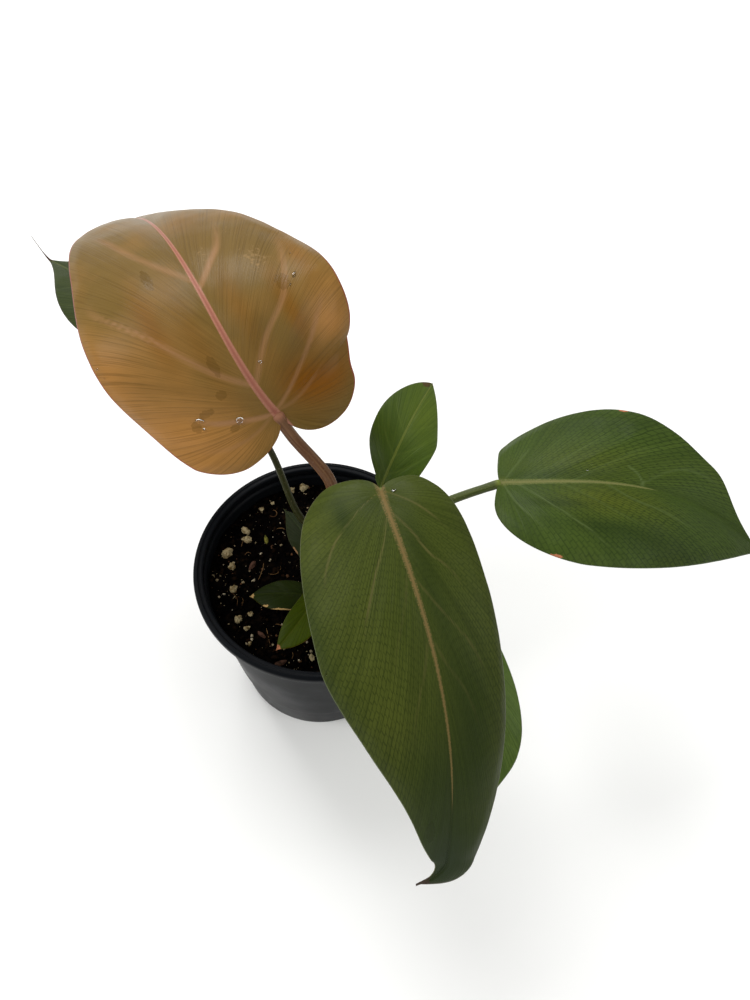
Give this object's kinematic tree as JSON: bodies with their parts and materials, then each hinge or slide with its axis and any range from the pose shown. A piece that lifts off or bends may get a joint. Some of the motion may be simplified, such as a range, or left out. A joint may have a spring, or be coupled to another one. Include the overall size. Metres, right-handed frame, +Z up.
{
  "type": "potted philodendron",
  "caption": "Young philodendron with bronze and dark green leaves on long stalks, growing from one stem in potting mix in a round black nursery pot.",
  "frame": {"origin": "centre of the flat underside of the pot, on the surface it stands on", "axes": "+Z up along the pot's axis; +X towards the large level leaf; -Y towards the large drooping leaf"},
  "size_m": [0.3278, 0.2685, 0.2113],
  "materials": {
    "black_polypropylene": "satin",
    "potting_mix": "matte",
    "stem_green": "satin",
    "bronze_leaf": "gloss",
    "dark_leaf": "satin",
    "mid_green_leaf": "satin",
    "juvenile_leaf": "satin",
    "mauve_petiole": "satin",
    "green_petiole": "satin",
    "perlite": "matte",
    "bark": "matte"
  },
  "bodies": {
    "root": {"nursery_pot": "black_polypropylene", "potting_mix": "potting_mix", "stem": "stem_green", "bronze_leaf_petiole": "mauve_petiole", "bronze_leaf_blade": "bronze_leaf", "front_leaf_petiole": "green_petiole", "front_leaf_blade": "dark_leaf", "right_leaf_petiole": "green_petiole", "right_leaf_blade": "dark_leaf", "back_leaf_petiole": "green_petiole", "back_leaf_blade": "mid_green_leaf", "low_leaf_petiole": "green_petiole", "low_leaf_blade": "mid_green_leaf", "small_leaf_petiole": "green_petiole", "small_leaf_blade": "mid_green_leaf", "juvenile_leaf_left_petiole": "green_petiole", "juvenile_leaf_left_blade": "juvenile_leaf", "juvenile_leaf_front_petiole": "green_petiole", "juvenile_leaf_front_blade": "juvenile_leaf", "juvenile_leaf_back_petiole": "green_petiole", "juvenile_leaf_back_blade": "juvenile_leaf", "perlite_1": "perlite", "perlite_2": "perlite", "perlite_3": "perlite", "perlite_4": "perlite", "perlite_5": "perlite", "perlite_6": "perlite", "perlite_7": "perlite", "perlite_8": "perlite", "perlite_9": "perlite", "perlite_10": "perlite", "perlite_11": "perlite", "perlite_12": "perlite", "perlite_13": "perlite", "perlite_14": "perlite", "bark_chip_1": "bark", "bark_chip_2": "bark", "bark_chip_3": "bark", "bark_chip_4": "bark"}
  },
  "joints": []
}
